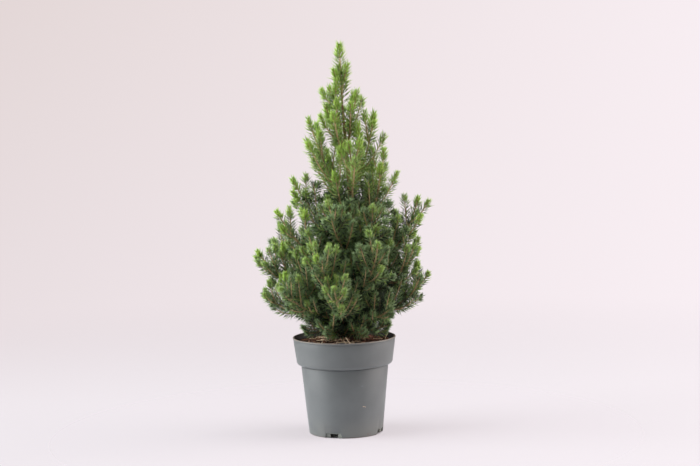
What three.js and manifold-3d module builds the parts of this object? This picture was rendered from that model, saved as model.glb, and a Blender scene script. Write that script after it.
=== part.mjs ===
// A dwarf Alberta spruce in a plastic nursery pot.
// Millimetres, +Z up. The front of the plant faces -Y, and +X is to its right.
// The origin lies under the middle of the pot, on the surface that the pot stands on.

import * as THREE from "three";
import { mergeVertices } from "three/addons/utils/BufferGeometryUtils.js";
import Module from "manifold-3d";

const wasm = await Module();
wasm.setup();

const GAP = 0.3; // clearance between two pieces that touch
const PAST = 3; // how far a cutter runs on past the surface that it cuts
const UP = new THREE.Vector3(0, 0, 1);

// ---------------------------------------------------------------- sizes

const POT = {
  height: 122,
  rimRadius: 65,
  lipHeight: 2.2,
  lipProud: 0.7, // how far the lip stands out of the collar
  collarRadius: 60.7, // at the collar's lower edge
  collarDepth: 33,
  bodyTopRadius: 55,
  bodyTop: 85,
  footRadius: 46.7,
  footRound: 2,
  wall: 1.4,
  footWall: 3.4, // the wall is thicker round the foot
  footHeight: 7,
  floor: 1.6,
  sides: 36,
};

const DRAIN = {
  count: 4,
  heading: 250, // of the first drain hole
  width: 10,
  height: 4.6,
  inward: 10, // how far the hole runs into the floor
  recessWidth: 24,
  recessHeight: 5.4,
  recessDepth: 1.8,
  recessSlant: 4, // how much shorter the recess is at its top, at each end
};

const SOIL = { edge: 114, mound: 3, moundRadius: 20, clearance: 0.4 };

const TRUNK = {
  tip: 414,
  flareRadius: 7.5,
  flareHeight: 9,
  radius: 4.4, // just above the root flare
  tipRadius: 1.4,
  bow: 10, // sideways, at half height
  wave: 3.4,
  lean: 1.5, // of the top
  backward: -4, // the same bow, from front to back
  sides: 8,
  rings: 12,
  crowding: 1.3, // above 1, the rings lie closer together near the foot
};

// Each tier of boughs, from the pot up. "leaves" is the height at which its first bough leaves the
// trunk, "climb" how much higher each next one does, "spread" how far out a bough turns upwards, as
// a share of its reach, and "bare" the share of a bough before its needles begin. Where that is 0,
// the bough is green from the trunk on and is one mass. "angle" is how far its twigs stand away.
// A bough has a heading (degrees, 0 to the right and 90 to the back), the reach of its tip from the
// pot's axis and the height of its tip.
const TIERS = [
  {
    name: "foot",
    leaves: 124,
    climb: 1.4,
    spread: 0.6,
    bare: 0,
    angle: 44,
    boughs: [
      [248, 60, 141],
      [294, 62, 138],
      [340, 66, 140],
      [205, 62, 139],
      [140, 64, 141],
      [62, 64, 142],
    ],
  },
  {
    name: "skirt",
    leaves: 133,
    climb: 2,
    spread: 0.7,
    bare: 0.2,
    angle: 44,
    boughs: [
      [2, 111, 204],
      [182, 104, 182],
      [263, 92, 198],
      [318, 82, 166],
      [216, 98, 194],
      [112, 92, 178],
    ],
  },
  {
    name: "lower",
    leaves: 152,
    climb: 5,
    spread: 0.7,
    bare: 0.2,
    angle: 42,
    boughs: [
      [178, 110, 236],
      [352, 98, 250],
      [248, 88, 236],
      [301, 86, 250],
      [150, 106, 246],
      [54, 100, 236],
    ],
  },
  {
    name: "middle",
    leaves: 190,
    climb: 7,
    spread: 0.7,
    bare: 0.2,
    angle: 40,
    boughs: [
      [6, 99, 300],
      [200, 88, 288],
      [312, 58, 294],
      [250, 52, 300],
      [92, 78, 288],
    ],
  },
  {
    name: "shoulder",
    leaves: 226,
    climb: 12,
    spread: 0.62,
    bare: 0.2,
    angle: 38,
    boughs: [
      [165, 66, 326],
      [352, 56, 362],
      [52, 58, 340],
      [115, 46, 362],
    ],
  },
  {
    name: "spire",
    leaves: 268,
    climb: 20,
    spread: 0.52,
    bare: 0,
    angle: 34,
    boughs: [
      [182, 41, 402],
      [288, 34, 372],
      [4, 44, 408],
      [100, 30, 404],
      [200, 20, 418],
      [350, 18, 432],
      [184, 14, 440],
    ],
  },
];

// The shoot that carries on from the trunk, and what sets its twigs apart from the others.
const LEADER = { tip: 493, angle: 22, twigs: { lastAt: 0.4, least: 8, share: 0.26, lift: 0.2 } };

// "rise" is the share of its climb that a bough has made where it turns upwards.
const BOUGH = { radius: 2, tipRadius: 1.5, sides: 5, rings: 2, rise: 0.3 };

const STEM = { radius: 1.6, tipRadius: 1, sides: 3 };

const TWIG = {
  spacing: 13.5, // along the stem
  stagger: 0.5, // how far chance moves a twig along the stem, in spacings
  firstAt: 0.1, // shares of the stem between which the twigs leave it
  lastAt: 0.78,
  least: 14,
  share: 0.32, // of the stem that is left beyond the twig, added to the least length
  most: 40,
  spread: 0.15, // how much chance changes a length, as a share of it
  turnSpread: 20,
  angleSpread: 6,
  lift: 0.55, // how much a twig turns up, as a share of its length
  radius: 1.4,
  tipRadius: 0.9,
  room: 6.4, // between the twigs of two masses
};

// The teeth of a spray. Each stands for a tuft of needles.
const NEEDLE = { length: 13, angle: 50, tipAngle: 26, every: 14.5, clearance: 1.2, end: 6 };

const WALL_ROOM = 12; // inside this distance from the rim, nothing green hangs below the rim's top

const GOLDEN_ANGLE = 137.5;

const STEEP = 0.98; // the rise of a limb, as a share of its length, past which "up" isn't across it

// ---------------------------------------------------------------- helpers

// Repeatable chance: the same seed always gives the same plant.
function dice(seed) {
  let state = Math.imul(seed, 2654435761) >>> 0;
  return (low, high) => {
    state = (Math.imul(state, 1664525) + 1013904223) >>> 0;
    return low + ((high - low) * state) / 4294967296;
  };
}

const radians = (degrees) => (degrees * Math.PI) / 180;

const outward = (heading) => new THREE.Vector3(Math.cos(radians(heading)), Math.sin(radians(heading)), 0);

// A closed three.js geometry as a manifold-3d solid.
function solidFrom(geometry) {
  const bare = geometry.clone();
  bare.deleteAttribute("normal");
  bare.deleteAttribute("uv");
  const merged = mergeVertices(bare, 1e-3);
  const faces = [];
  for (let i = 0; i < merged.index.count; i += 3) {
    const [a, b, c] = merged.index.array.slice(i, i + 3);
    if (a !== b && b !== c && c !== a) faces.push(a, b, c);
  }
  return new wasm.Manifold(
    new wasm.Mesh({
      numProp: 3,
      vertProperties: merged.attributes.position.array,
      triVerts: new Uint32Array(faces),
    }),
  );
}

// A manifold-3d solid as a three.js geometry.
function geometryFrom(solid) {
  const mesh = solid.getMesh();
  return new THREE.BufferGeometry()
    .setAttribute("position", new THREE.BufferAttribute(mesh.vertProperties, 3))
    .setIndex(new THREE.BufferAttribute(mesh.triVerts, 1));
}

// A profile of [radius, height] points turned round the Z axis.
function turned(profile, sides) {
  const points = profile.map(([radius, height]) => new THREE.Vector2(radius, height));
  return new THREE.LatheGeometry(points, sides).rotateX(Math.PI / 2);
}

// ---------------------------------------------------------------- pot and soil

// The radius of the pot's outside at a height below its collar.
function bodyRadius(height) {
  return THREE.MathUtils.lerp(POT.footRadius, POT.bodyTopRadius, height / POT.bodyTop);
}

// The inside of the pot, from the floor's edge up to the lip, moved inwards by "inset".
function insideProfile(inset) {
  const collarFoot = POT.height - POT.collarDepth;
  const lipFoot = POT.height - POT.lipHeight;
  return [
    [POT.footRadius - POT.footWall - inset, POT.floor + inset],
    [bodyRadius(POT.footHeight) - POT.footWall - inset, POT.footHeight],
    [bodyRadius(POT.footHeight + 2) - POT.wall - inset, POT.footHeight + 2],
    [POT.bodyTopRadius - POT.wall - inset, POT.bodyTop + POT.wall],
    [POT.collarRadius - POT.wall - inset, collarFoot + POT.wall],
    [POT.rimRadius - POT.lipProud - POT.wall - inset, lipFoot],
  ];
}

function potSolid() {
  const collarTop = POT.rimRadius - POT.lipProud;
  const profile = [
    [0, 0],
    [POT.footRadius - POT.footRound, 0],
    [POT.footRadius, POT.footRound],
    [POT.bodyTopRadius, POT.bodyTop],
    [POT.collarRadius, POT.height - POT.collarDepth],
    [collarTop, POT.height - POT.lipHeight],
    [POT.rimRadius, POT.height - POT.lipHeight],
    [POT.rimRadius, POT.height],
    [collarTop - POT.wall, POT.height],
    ...insideProfile(0).reverse(),
    [0, POT.floor],
  ];
  let pot = solidFrom(turned(profile, POT.sides));
  for (let i = 0; i < DRAIN.count; i++) {
    const heading = radians(DRAIN.heading + (i * 360) / DRAIN.count);
    pot = pot.subtract(solidFrom(drainHole().rotateZ(heading)));
    pot = pot.subtract(solidFrom(drainRecess().rotateZ(heading)));
  }
  return pot;
}

// A hole through the foot of the wall that runs on into the floor, at heading 0.
function drainHole() {
  const length = DRAIN.inward + PAST;
  return new THREE.BoxGeometry(length, DRAIN.width, DRAIN.height + PAST).translate(
    POT.footRadius + PAST - length / 2,
    0,
    (DRAIN.height - PAST) / 2,
  );
}

// The shallow recess round that hole, with slanted ends, at heading 0.
function drainRecess() {
  const half = DRAIN.recessWidth / 2;
  const outline = new THREE.Shape([
    new THREE.Vector2(-half, -PAST),
    new THREE.Vector2(half, -PAST),
    new THREE.Vector2(half - DRAIN.recessSlant, DRAIN.recessHeight),
    new THREE.Vector2(DRAIN.recessSlant - half, DRAIN.recessHeight),
  ]);
  const sagitta = POT.footRadius - Math.sqrt(POT.footRadius ** 2 - half ** 2);
  const depth = DRAIN.recessDepth + sagitta + PAST;
  return new THREE.ExtrudeGeometry(outline, { depth, bevelEnabled: false })
    .rotateX(Math.PI / 2)
    .rotateZ(Math.PI / 2)
    .translate(POT.footRadius - DRAIN.recessDepth - sagitta / 2, 0, 0);
}

// The height of the soil at a distance from the pot's axis.
function soilHeight(radius) {
  const slope = (POT.collarRadius - radius) / (POT.collarRadius - SOIL.moundRadius);
  return SOIL.edge + SOIL.mound * THREE.MathUtils.clamp(slope, 0, 1);
}

function soilGeometry() {
  const walls = insideProfile(SOIL.clearance);
  const [collarFootRadius, collarFootHeight] = walls[4];
  const [lipRadius, lipHeight] = walls[5];
  const share = (SOIL.edge - collarFootHeight) / (lipHeight - collarFootHeight);
  const edgeRadius = THREE.MathUtils.lerp(collarFootRadius, lipRadius, share);
  return turned(
    [
      [0, POT.floor + SOIL.clearance],
      ...walls.slice(0, 5),
      [edgeRadius, SOIL.edge],
      [SOIL.moundRadius, SOIL.edge + SOIL.mound],
      [0, SOIL.edge + SOIL.mound],
    ],
    POT.sides,
  );
}

// ---------------------------------------------------------------- limbs

const TRUNK_FOOT = SOIL.edge + SOIL.mound + GAP;

// The trunk's line, from the soil up to the tip of the leader.
function trunkPoint(height) {
  const t = (height - TRUNK_FOOT) / (LEADER.tip - TRUNK_FOOT);
  const bend = Math.sin(Math.PI * t);
  return new THREE.Vector3(
    TRUNK.lean * t + TRUNK.bow * bend + TRUNK.wave * Math.sin(2 * Math.PI * t),
    TRUNK.backward * bend,
    height,
  );
}

function trunkRadius(height) {
  const flare = Math.max(0, 1 - (height - TRUNK_FOOT) / TRUNK.flareHeight);
  const t = (height - TRUNK_FOOT) / (TRUNK.tip - TRUNK_FOOT);
  const straight = THREE.MathUtils.lerp(TRUNK.radius, TRUNK.tipRadius, t);
  return straight + (TRUNK.flareRadius - TRUNK.radius) * flare ** 2;
}

function trunkGeometry() {
  const tall = TRUNK.tip - TRUNK_FOOT;
  const geometry = new THREE.CylinderGeometry(1, 1, 1, TRUNK.sides, TRUNK.rings);
  const position = geometry.attributes.position;
  for (let i = 0; i < position.count; i++) {
    const height = TRUNK_FOOT + tall * (position.getY(i) + 0.5) ** TRUNK.crowding;
    const centre = trunkPoint(height);
    const radius = trunkRadius(height);
    position.setXYZ(i, centre.x + radius * position.getX(i), centre.y - radius * position.getZ(i), height);
  }
  return geometry;
}

// A limb is a quadratic curve that keeps its own sense of "across".
class Limb {
  constructor(start, control, end) {
    this.curve = new THREE.QuadraticBezierCurve3(start, control, end);
    this.length = this.curve.getLength();
    const chord = end.clone().sub(start).normalize();
    const reference = Math.abs(chord.z) > STEEP ? new THREE.Vector3(1, 0, 0) : UP;
    this.across = reference.clone().cross(chord).normalize();
  }

  // The point at a share of the limb, and the directions along, across and out of it there.
  frame(share) {
    const inside = THREE.MathUtils.clamp(share, 0, 1);
    const along = this.curve.getTangent(inside);
    const lift = along.clone().cross(this.across).normalize();
    const across = lift.clone().cross(along);
    const point = this.curve.getPoint(inside).addScaledVector(along, (share - inside) * this.length);
    return { point, along, across, lift };
  }

  // A point given in the straightened limb: Y along it past the share "from", X and Z off its line.
  place(x, y, z, from) {
    const { point, across, lift } = this.frame(from + y / this.length);
    return point.addScaledVector(across, x).addScaledVector(lift, -z);
  }
}

// A bough's whole line: out from the trunk, then turning up. It starts far enough out for the lower
// edge of its slanted foot to clear the trunk, and stops short of its tip by the last needles.
function boughLine(leaves, spread, radius, [heading, reach, tipHeight]) {
  const out = outward(heading);
  const centre = trunkPoint(leaves);
  const control = centre
    .clone()
    .addScaledVector(out, reach * spread)
    .setZ(THREE.MathUtils.lerp(leaves, tipHeight, BOUGH.rise));
  const end = out.clone().multiplyScalar(reach).setZ(tipHeight);
  end.addScaledVector(end.clone().sub(control).normalize(), -NEEDLE.end);
  const slant = control.clone().sub(centre).normalize().z;
  const start = centre.addScaledVector(out, trunkRadius(leaves - 2 * radius) + GAP + radius * slant);
  return new Limb(start, control, end);
}

// A tapering round bar along a limb, from one share of it to another.
function bar(limb, from, to, radius, tipRadius, sides, rings) {
  const length = limb.length * (to - from);
  const geometry = new THREE.CylinderGeometry(tipRadius, radius, length, sides, rings);
  geometry.translate(0, length / 2, 0);
  return bend(geometry, limb, from);
}

// Bends a geometry that stands along Y onto a limb, from a share of it on.
function bend(geometry, limb, from) {
  const position = geometry.attributes.position;
  for (let i = 0; i < position.count; i++) {
    const placed = limb.place(position.getX(i), position.getY(i), position.getZ(i), from);
    position.setXYZ(i, placed.x, placed.y, placed.z);
  }
  return geometry;
}

// ---------------------------------------------------------------- sprays

// The core of a spray, with needles raised from half of its faces where "free" allows. One of the
// core's edges lies on the upper side, which meets the trunk where a steep spray leaves it.
function spray(limb, from, to, radius, tipRadius, free) {
  const length = limb.length * (to - from);
  const rings = Math.max(2, Math.round(length / NEEDLE.every));
  const core = new THREE.CylinderGeometry(tipRadius, radius, length, STEM.sides, rings);
  core.rotateY(Math.PI).translate(0, length / 2, 0);
  core.deleteAttribute("normal");
  core.deleteAttribute("uv");
  const merged = mergeVertices(core, 1e-3);
  const points = Array.from(merged.attributes.position.array);
  const faces = [];
  const sideFaces = 2 * STEM.sides * rings;
  for (let f = 0; f < merged.index.count / 3; f++) {
    const corners = Array.from(merged.index.array.slice(3 * f, 3 * f + 3));
    const tip = f < sideFaces && f % 2 === 0 ? needleTip(points, corners, length) : null;
    const placed = tip && limb.place(...tip, from);
    if (placed && free(placed)) {
      const apex = points.length / 3;
      points.push(...tip);
      corners.forEach((corner, i) => faces.push(corner, corners[(i + 1) % 3], apex));
    } else {
      faces.push(...corners);
    }
  }
  for (let i = 0; i < points.length; i += 3) {
    const onTip = Math.hypot(points[i], points[i + 2]) < 1e-6 && points[i + 1] > length / 2;
    if (onTip) points[i + 1] += NEEDLE.end; // the spray ends in a point
  }
  const geometry = new THREE.BufferGeometry()
    .setAttribute("position", new THREE.Float32BufferAttribute(points, 3))
    .setIndex(faces);
  return bend(geometry, limb, from);
}

// Where the needle on one face of the core ends. Needles lean forwards more near the spray's end.
function needleTip(points, corners, length) {
  const middle = [0, 1, 2].map((axis) => corners.reduce((sum, c) => sum + points[3 * c + axis], 0) / 3);
  const angle = radians(THREE.MathUtils.lerp(NEEDLE.angle, NEEDLE.tipAngle, (middle[1] / length) ** 2));
  const off = Math.hypot(middle[0], middle[2]);
  const out = 1 + (NEEDLE.length * Math.sin(angle)) / off;
  return [middle[0] * out, middle[1] + NEEDLE.length * Math.cos(angle), middle[2] * out];
}

// The twigs that a stem bears, by the golden angle, longer near its foot than near its tip.
function twigsOf(stem, from, standing, rule, roll) {
  const twigs = [];
  const count = Math.round((stem.length * (1 - from)) / rule.spacing);
  for (let i = 0; i < count; i++) {
    const share = THREE.MathUtils.lerp(rule.firstAt, rule.lastAt, (i + roll(0, rule.stagger)) / count);
    const at = THREE.MathUtils.lerp(from, 1, share);
    const { point, along, across, lift } = stem.frame(at);
    const turn = radians(i * GOLDEN_ANGLE + roll(-rule.turnSpread, rule.turnSpread));
    const angle = radians(standing + roll(-rule.angleSpread, rule.angleSpread));
    const left = stem.length * (1 - at);
    const grown = Math.min(rule.most, rule.least + rule.share * left);
    const length = grown * roll(1 - rule.spread, 1 + rule.spread);
    const direction = along
      .multiplyScalar(Math.cos(angle))
      .addScaledVector(across, Math.cos(turn) * Math.sin(angle))
      .addScaledVector(lift, Math.sin(turn) * Math.sin(angle));
    const control = point.clone().addScaledVector(direction, length / 2);
    const end = point
      .clone()
      .addScaledVector(direction, length)
      .addScaledVector(UP, rule.lift * length);
    twigs.push(new Limb(point, control, end));
  }
  return twigs;
}

// ---------------------------------------------------------------- keeping apart

const STEPS = 6; // pieces that a limb is measured in

function linePoints(limb, from = 0) {
  return Array.from({ length: STEPS + 1 }, (_, i) => limb.frame(from + ((1 - from) * i) / STEPS).point);
}

const nearest = new THREE.Vector3();
const stretch = new THREE.Line3();

// How far a point is from a line of points.
function distanceTo(line, point) {
  let least = Infinity;
  for (let i = 0; i + 1 < line.length; i++) {
    stretch.set(line[i], line[i + 1]).closestPointToPoint(point, true, nearest);
    least = Math.min(least, nearest.distanceTo(point));
  }
  return least;
}

// Whether a point is clear of the trunk, the pot and the soil.
function clearOfPot(point, room) {
  const radius = Math.hypot(point.x, point.y);
  const height = radius > POT.rimRadius - WALL_ROOM ? POT.height : soilHeight(radius);
  return point.z > height + room && (point.z > POT.height || radius < POT.rimRadius);
}

function clearOfTrunk(point, room) {
  const height = THREE.MathUtils.clamp(point.z, TRUNK_FOOT, TRUNK.tip);
  return trunkPoint(height).distanceTo(point) > trunkRadius(height) + room;
}

// ---------------------------------------------------------------- the plant

// Every stem, with the mass that it belongs to.
function layOutStems() {
  const stems = [];
  for (const { name, leaves, climb, spread, bare, angle, boughs } of TIERS) {
    boughs.forEach((bough, i) => {
      const radius = bare ? BOUGH.radius : STEM.radius;
      const limb = boughLine(leaves + i * climb, spread, radius, bough);
      stems.push({ name: `${name}_${i + 1}`, limb, bare, angle, rule: TWIG });
    });
  }
  const foot = trunkPoint(TRUNK.tip + GAP);
  const top = trunkPoint(LEADER.tip - NEEDLE.end);
  const leader = new Limb(foot, foot.clone().lerp(top, 0.5), top);
  const rule = { ...TWIG, ...LEADER.twigs };
  stems.push({ name: "leader", limb: leader, bare: 0, angle: LEADER.angle, rule });
  stems.forEach((stem, i) => {
    stem.seed = i + 1;
    stem.lines = [linePoints(stem.limb, stem.bare)];
    stem.wood = stem.bare && [0, 0.5, 1].map((share) => stem.limb.frame(share * stem.bare).point);
    stem.twigs = [];
  });
  return stems;
}

// Adds to each stem the twigs that have room of their own.
function growTwigs(stems) {
  for (const stem of stems) {
    for (const twig of twigsOf(stem.limb, stem.bare, stem.angle, stem.rule, dice(stem.seed))) {
      const line = linePoints(twig);
      const outer = line.slice(2); // its foot lies against its own stem
      const apart = stems.every(
        (other) =>
          other === stem ||
          outer.every((p) => other.lines.every((l) => distanceTo(l, p) > TWIG.room)),
      );
      const half = TWIG.room / 2;
      const clearOfLimbs = stems.every(
        ({ wood }) => !wood || outer.every((p) => distanceTo(wood, p) > half + BOUGH.radius),
      );
      const clearOfRest = outer.every((p) => clearOfPot(p, half) && clearOfTrunk(p, half));
      if (apart && clearOfLimbs && clearOfRest) {
        stem.twigs.push(twig);
        stem.lines.push(line);
      }
    }
  }
}

// Whether a needle's tip lies nearer to its own twig than to any other, and well inside its own mass.
function inOwnSpace(stem, ownLine, stems, point) {
  const own = distanceTo(ownLine, point);
  for (const other of stems) {
    if (other.wood && distanceTo(other.wood, point) < BOUGH.radius + NEEDLE.clearance) return false;
    const limit = other === stem ? own : own + NEEDLE.clearance;
    if (other.lines.some((line) => line !== ownLine && distanceTo(line, point) < limit)) return false;
  }
  return clearOfPot(point, NEEDLE.clearance) && clearOfTrunk(point, NEEDLE.clearance);
}

// A mass: its stem and twigs, fused into one solid.
function massSolid(stem, stems) {
  const free = (line) => (point) => inOwnSpace(stem, line, stems, point);
  const [stemLine, ...twigLines] = stem.lines;
  const start = stem.bare && stem.bare + GAP / stem.limb.length;
  let solid = solidFrom(spray(stem.limb, start, 1, STEM.radius, STEM.tipRadius, free(stemLine)));
  stem.twigs.forEach((twig, i) => {
    solid = solid.add(solidFrom(spray(twig, 0, 1, TWIG.radius, TWIG.tipRadius, free(twigLines[i]))));
  });
  return outerBody(solid);
}

// The largest closed body of a solid, so that a hollow that fusing sealed is filled.
function outerBody(solid) {
  return solid.decompose().reduce((best, body) => (body.volume() > best.volume() ? body : best));
}

// ---------------------------------------------------------------- materials

const finishes = {
  pot: new THREE.MeshStandardMaterial({ color: 0x6a6e70, roughness: 0.45, metalness: 0 }),
  soil: new THREE.MeshStandardMaterial({ color: 0x4a2f20, roughness: 0.95, metalness: 0 }),
  bark: new THREE.MeshStandardMaterial({ color: 0x8a6a4a, roughness: 0.9, metalness: 0 }),
  needles: new THREE.MeshStandardMaterial({ color: 0x45602f, roughness: 0.6, metalness: 0 }),
};

// ---------------------------------------------------------------- assembly

const plant = new THREE.Group();

function addPart(name, geometry, material) {
  const mesh = new THREE.Mesh(geometry, material);
  mesh.name = name;
  plant.add(mesh);
}

addPart("pot", geometryFrom(potSolid()), finishes.pot);
addPart("soil", soilGeometry(), finishes.soil);
addPart("trunk", trunkGeometry(), finishes.bark);

const stems = layOutStems();
growTwigs(stems);
for (const stem of stems) {
  if (stem.bare) {
    const wood = bar(stem.limb, 0, stem.bare, BOUGH.radius, BOUGH.tipRadius, BOUGH.sides, BOUGH.rings);
    addPart(`bough_${stem.name}`, wood, finishes.bark);
  }
  addPart(`foliage_${stem.name}`, geometryFrom(massSolid(stem, stems)), finishes.needles);
}

export default plant;
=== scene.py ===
from math import ceil, cos, hypot, pi, radians, sin, sqrt

import bmesh
import bpy
import numpy as np
from mathutils import Matrix, Quaternion, Vector, noise


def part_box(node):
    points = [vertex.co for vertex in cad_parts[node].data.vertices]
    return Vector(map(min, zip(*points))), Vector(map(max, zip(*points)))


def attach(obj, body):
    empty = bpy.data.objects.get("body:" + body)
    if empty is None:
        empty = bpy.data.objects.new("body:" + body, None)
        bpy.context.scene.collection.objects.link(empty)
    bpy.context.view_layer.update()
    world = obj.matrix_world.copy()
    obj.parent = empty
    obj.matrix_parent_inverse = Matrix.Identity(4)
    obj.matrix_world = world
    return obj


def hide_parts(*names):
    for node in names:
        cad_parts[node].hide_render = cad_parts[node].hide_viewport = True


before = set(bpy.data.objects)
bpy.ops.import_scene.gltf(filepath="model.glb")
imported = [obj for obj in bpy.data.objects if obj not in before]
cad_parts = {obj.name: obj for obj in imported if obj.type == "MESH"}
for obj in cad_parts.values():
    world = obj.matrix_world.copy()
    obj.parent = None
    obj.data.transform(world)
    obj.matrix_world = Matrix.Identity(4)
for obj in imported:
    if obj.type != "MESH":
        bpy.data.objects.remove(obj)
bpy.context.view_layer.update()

scene = bpy.context.scene
mm = 0.001  # lengths below are in millimetres, and meshes are made in metres
weld = 0.005  # points nearer to each other than this become one
up = np.array([0.0, 0.0, 1.0])


def addObject(name, data):
    made = bpy.data.objects.new(name, data)
    bpy.context.collection.objects.link(made)
    return made


# camera, light and floor
view = {
    "lens": 90,
    "place": (10.1, -2195, 437),
    "downward": 4.8,  # degrees
    "roll": -1.21,
}

camera = addObject("camera", bpy.data.cameras.new("camera"))
camera.data.lens = view["lens"]
camera.data.sensor_width = 36
camera.location = Vector(view["place"]) * mm
camera.rotation_mode = "QUATERNION"
camera.rotation_quaternion = (
    Quaternion((1, 0, 0), radians(90 - view["downward"]))
    @ Quaternion((0, 0, 1), radians(view["roll"]))
)
scene.camera = camera
scene.view_settings.view_transform = "Standard"

studio = {
    "lamps": [  # name, place, size, power, colour
        ("leftBox", (-1900, -200, 800), (1600, 2000), 84, (0.95, 0.98, 0.98)),
        ("rightBox", (1900, 60, 800), (1600, 2000), 61, (1.0, 0.92, 0.89)),
        ("topBox", (0, -60, 2300), (2400, 1800), 62, (1.0, 1.0, 1.0)),
        ("frontBox", (200, -2700, 1500), (1500, 900), 1, (1.0, 1.0, 1.0)),
    ],
    "aim": (0, 0, 220),
    "ambient": 0.07,
    "ambientColour": (1, 0.98, 0.97),
    # painted light: the backdrop is coloured darker high up and lighter low down and to the right
    "highBackdrop": (0.765, 0.675, 0.670),
    "lowBackdrop": (0.835, 0.76, 0.79),
    "rightBackdrop": (0.965, 0.885, 0.925),
    "rightShare": 0.85,
    "riseSpan": (-0.19, 0.06),  # of the line of sight, between the two backdrop colours
    "turnSpan": (-0.2, 0.2),
    "floorColour": (0.475, 0.465, 0.495),  # as it is seen
    "nearBounce": (0.84, 0.85, 0.90),  # as it lights the rest, beside the pot and far from it
    "farBounce": (0.42, 0.41, 0.40),
    "bounceSpan": (120, 700),
    "floorRadius": 2600,
    "floorSteps": 96,
    "floorDrop": 0.2,  # how far it lies below the pot's foot
    "floorRoughness": 0.7,
    "floorFade": (250, 1500),  # the floor melts into the backdrop between these distances
    "floorThin": 0.6,  # how far it has already done so beside the pot
    "floorWhole": (44, 46),  # and between these radii it starts to, under the pot's edge
}


def addNode(tree, kind, inputs=(), **settings):
    # a shader node with its settings, and its inputs linked to sockets or set to constants
    node = tree.nodes.new("ShaderNode" + kind)
    for name, value in settings.items():
        setattr(node, name, value)
    for name, value in dict(inputs).items():
        socket = node.inputs[name]
        if isinstance(value, bpy.types.NodeSocket):
            tree.links.new(value, socket)
        else:
            socket.default_value = (*value, 1) if socket.type == "RGBA" else value
    return node


def spanOf(tree, value, low, high, first=0, last=1, interpolation="LINEAR"):
    # goes from the first to the last result while a value goes from the low to the high end
    inputs = {"Value": value, "From Min": low, "From Max": high, "To Min": first, "To Max": last}
    return addNode(tree, "MapRange", inputs, interpolation_type=interpolation).outputs[0]


def softSpan(tree, value, low, high):
    return spanOf(tree, value, low, high, interpolation="SMOOTHSTEP")


def mixOf(tree, amount, first, second):
    # inputs 6 and 7 and output 2 of the node are colours
    inputs = {"Factor": amount, 6: first, 7: second}
    return addNode(tree, "Mix", inputs, data_type="RGBA").outputs[2]


def product(tree, a, b):
    return addNode(tree, "Math", {0: a, 1: b}, operation="MULTIPLY").outputs[0]


def newMaterial(name, roughness):
    material = bpy.data.materials.new(name)
    material.use_nodes = True
    surface = material.node_tree.nodes["Principled BSDF"]
    surface.inputs["Roughness"].default_value = roughness
    return material, material.node_tree, surface


def inMetres(lengths):
    return [length * mm for length in lengths]


def makeLamps():
    for name, place, (width, height), power, colour in studio["lamps"]:
        lamp = addObject(name, bpy.data.lights.new(name, "AREA"))
        lamp.data.shape = "RECTANGLE"
        lamp.data.size = width * mm
        lamp.data.size_y = height * mm
        lamp.data.energy = power
        lamp.data.color = colour
        lamp.location = Vector(place) * mm
        toAim = (Vector(studio["aim"]) * mm - lamp.location).normalized()
        lamp.rotation_mode = "QUATERNION"
        lamp.rotation_quaternion = toAim.to_track_quat("-Z", "Y")


def makeBackdrop():
    world = bpy.data.worlds.new("backdrop")
    scene.world = world
    world.use_nodes = True
    tree = world.node_tree
    tree.nodes.clear()
    sight = addNode(tree, "TexCoord").outputs["Generated"]
    sight = addNode(tree, "SeparateXYZ", {0: sight}).outputs
    rise = spanOf(tree, sight["Z"], *studio["riseSpan"])
    turn = spanOf(tree, sight["X"], *studio["turnSpan"], 0, studio["rightShare"])
    # painted light on the backdrop: darker high up, lighter low down and to the right
    shade = mixOf(tree, rise, studio["lowBackdrop"], studio["highBackdrop"])
    shade = mixOf(tree, turn, shade, studio["rightBackdrop"])
    seen = addNode(tree, "Background", {"Color": shade}).outputs[0]
    ambient = {"Color": studio["ambientColour"], "Strength": studio["ambient"]}
    lit = addNode(tree, "Background", ambient).outputs[0]
    cameraRay = addNode(tree, "LightPath").outputs["Is Camera Ray"]
    both = addNode(tree, "MixShader", {0: cameraRay, 1: lit, 2: seen}).outputs[0]
    addNode(tree, "OutputWorld", {"Surface": both})


def makeFloor():
    bm = bmesh.new()
    radius = studio["floorRadius"] * mm
    bmesh.ops.create_circle(bm, cap_ends=True, segments=studio["floorSteps"], radius=radius)
    bmesh.ops.translate(bm, verts=bm.verts, vec=(0, 0, -studio["floorDrop"] * mm))
    mesh = bpy.data.meshes.new("floor")
    bm.to_mesh(mesh)
    bm.free()
    floor = addObject("floor", mesh)
    material, tree, surface = newMaterial("floor", studio["floorRoughness"])
    place = addNode(tree, "TexCoord").outputs["Object"]
    far = addNode(tree, "VectorMath", {0: place}, operation="LENGTH").outputs["Value"]
    cameraRay = addNode(tree, "LightPath").outputs["Is Camera Ray"]
    dim = spanOf(tree, far, *inMetres(studio["bounceSpan"]))
    bounce = mixOf(tree, dim, studio["nearBounce"], studio["farBounce"])
    colour = mixOf(tree, cameraRay, bounce, studio["floorColour"])
    tree.links.new(colour, surface.inputs["Base Color"])
    fade = spanOf(tree, far, *inMetres(studio["floorFade"]), studio["floorThin"], 1, "SMOOTHSTEP")
    apart = spanOf(tree, far, *inMetres(studio["floorWhole"]))
    amount = product(tree, product(tree, fade, apart), cameraRay)
    clear = addNode(tree, "BsdfTransparent").outputs[0]
    both = addNode(tree, "MixShader", {0: amount, 1: surface.outputs[0], 2: clear}).outputs[0]
    tree.links.new(both, tree.nodes["Material Output"].inputs["Surface"])
    mesh.materials.append(material)


makeLamps()
makeBackdrop()
makeFloor()
print("camera, lamps and floor made")


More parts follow.
